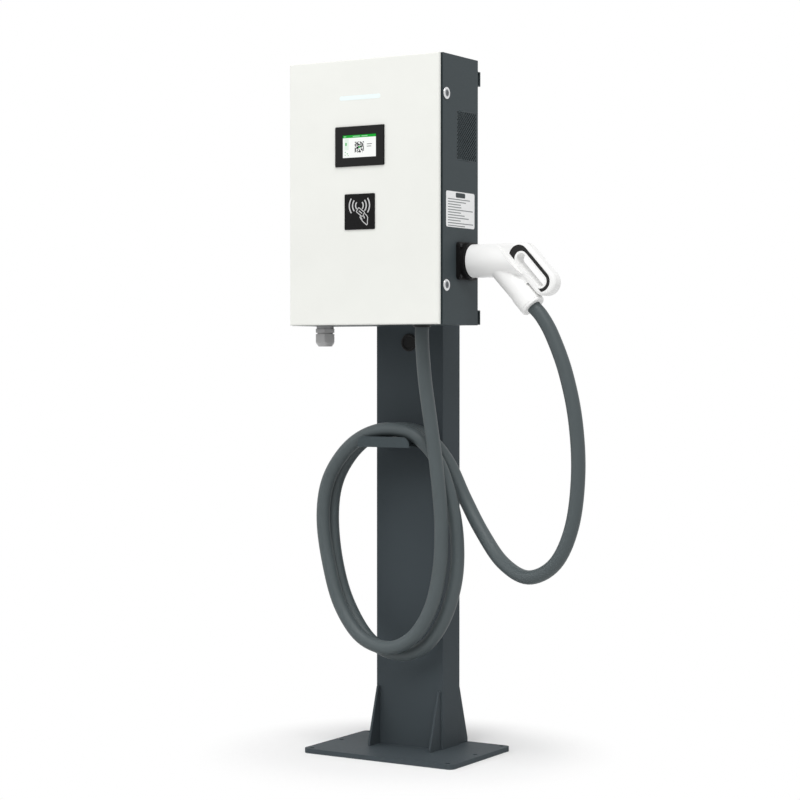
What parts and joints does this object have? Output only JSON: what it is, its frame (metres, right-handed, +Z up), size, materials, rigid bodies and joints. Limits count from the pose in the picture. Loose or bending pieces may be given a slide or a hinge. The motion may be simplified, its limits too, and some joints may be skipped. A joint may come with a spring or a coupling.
{
  "type": "ev charging post",
  "caption": "Cabinet charger on a floor-bolted column, with hinged door, display, card reader, cable hook, holster and a hand-held connector on its cable.",
  "frame": {"origin": "middle of the underside of the base plate", "axes": "+X to the right along the front, +Y to the back, +Z up; the door faces -Y"},
  "size_m": [0.75, 0.3585, 1.7025],
  "materials": {
    "column_paint": "dark grey powder coat on steel, fine texture",
    "casing_paint": "grey powder coat on sheet steel, fine texture",
    "door_paint": "white powder coat on sheet steel, semi-gloss",
    "black_plastic": "moulded, satin",
    "reader_plastic": "moulded, gloss face",
    "grip_rubber": "soft-touch, matt",
    "seal_rubber": "extruded, matt",
    "zinc_steel": "zinc plated",
    "chromed_zinc": "bright plated die casting",
    "blacked_steel": "black zinc-flake screws",
    "grey_nylon": "moulded, satin",
    "white_plastic": "moulded, semi-gloss",
    "device_plastic": "moulded, matt",
    "heatsink": "extruded, mill finish",
    "circuit_board": "solder resist",
    "screen_glass": "flat cover glass over a lit panel",
    "light_plastic": "opal light guide",
    "contact_brass": "turned, plated",
    "cable_jacket": "smooth extruded sheath"
  },
  "bodies": {
    "post": {"base_plate": "column_paint", "post_column": "column_paint", "post_gussets": "column_paint", "post_cap": "black_plastic", "post_grommet": "seal_rubber", "cable_hook": "casing_paint", "post_brackets": "zinc_steel", "mounting_rails": "casing_paint", "frame_bolts": "zinc_steel", "casing": "casing_paint", "casing_back": "casing_paint", "casing_rim": "casing_paint", "vent_grille_right": "casing_paint", "vent_grille_left": "casing_paint", "hinge_brackets": "zinc_steel", "lock_bodies": "chromed_zinc", "lock_nuts": "zinc_steel", "holster": "black_plastic", "holster_screws": "blacked_steel", "component_plate": "zinc_steel", "power_module": "heatsink", "fan_frame": "black_plastic", "control_board": "circuit_board", "din_rail": "zinc_steel", "breaker_body": "device_plastic", "contactor": "black_plastic", "energy_meter": "device_plastic", "aux_supply": "heatsink", "terminal_block": "device_plastic", "gland_body": "grey_nylon", "gland_locknut": "grey_nylon", "gland_seal": "seal_rubber", "gland_cap": "grey_nylon", "cable_bush": "black_plastic", "cable_lead": "cable_jacket", "cable_loops": "cable_jacket", "cable_tail": "cable_jacket"},
    "door": {"door_panel": "door_paint", "door_hinge_leaves": "zinc_steel", "hinge_pins": "chromed_zinc", "door_keepers": "zinc_steel", "door_seal": "seal_rubber", "display_bezel": "black_plastic", "display_screen": "screen_glass", "display_board": "circuit_board", "reader_plate": "reader_plastic", "reader_board": "circuit_board", "light_guide": "light_plastic"},
    "lock_upper": {"lock_core_upper": "zinc_steel", "lock_cam_upper": "zinc_steel"},
    "lock_lower": {"lock_core_lower": "zinc_steel", "lock_cam_lower": "zinc_steel"},
    "fan": {"fan_rotor": "black_plastic"},
    "breaker_switch": {"breaker_lever": "black_plastic"},
    "gun": {"gun_shell": "white_plastic", "gun_grip": "grip_rubber", "gun_nose": "black_plastic", "gun_contacts": "contact_brass", "gun_nut": "white_plastic"},
    "gun_thumb": {"gun_button": "white_plastic"}
  },
  "joints": [
    {"name": "door_hinge", "type": "hinge", "parent": "post", "child": "door", "pos_m": [-0.204, -0.201, 1.3825], "axis": [0, 0, -1], "range_deg": [0, 110]},
    {"name": "lock_turn_upper", "type": "hinge", "parent": "post", "child": "lock_upper", "pos_m": [0.19, -0.1765, 1.608], "axis": [1, 0, 0], "range_deg": [0, 90]},
    {"name": "lock_turn_lower", "type": "hinge", "parent": "post", "child": "lock_lower", "pos_m": [0.19, -0.1765, 1.156], "axis": [1, 0, 0], "range_deg": [0, 90]},
    {"name": "fan_spin", "type": "hinge", "parent": "post", "child": "fan", "pos_m": [0.2, -0.0785, 1.5145], "axis": [1, 0, 0], "continuous": true},
    {"name": "breaker_throw", "type": "hinge", "parent": "post", "child": "breaker_switch", "pos_m": [-0.124, -0.0955, 1.3325], "axis": [1, 0, 0], "range_deg": [0, 60]},
    {"name": "gun_slide", "type": "slide", "parent": "post", "child": "gun", "axis": [1, 0, 0], "range_m": [0, 0.07], "deforming": ["cable_tail"]},
    {"name": "gun_button_press", "type": "slide", "parent": "gun", "child": "gun_thumb", "axis": [-0.4695, 0, -0.8829], "range_m": [0, 0.003], "stiffness_N_per_m": 400}
  ]
}
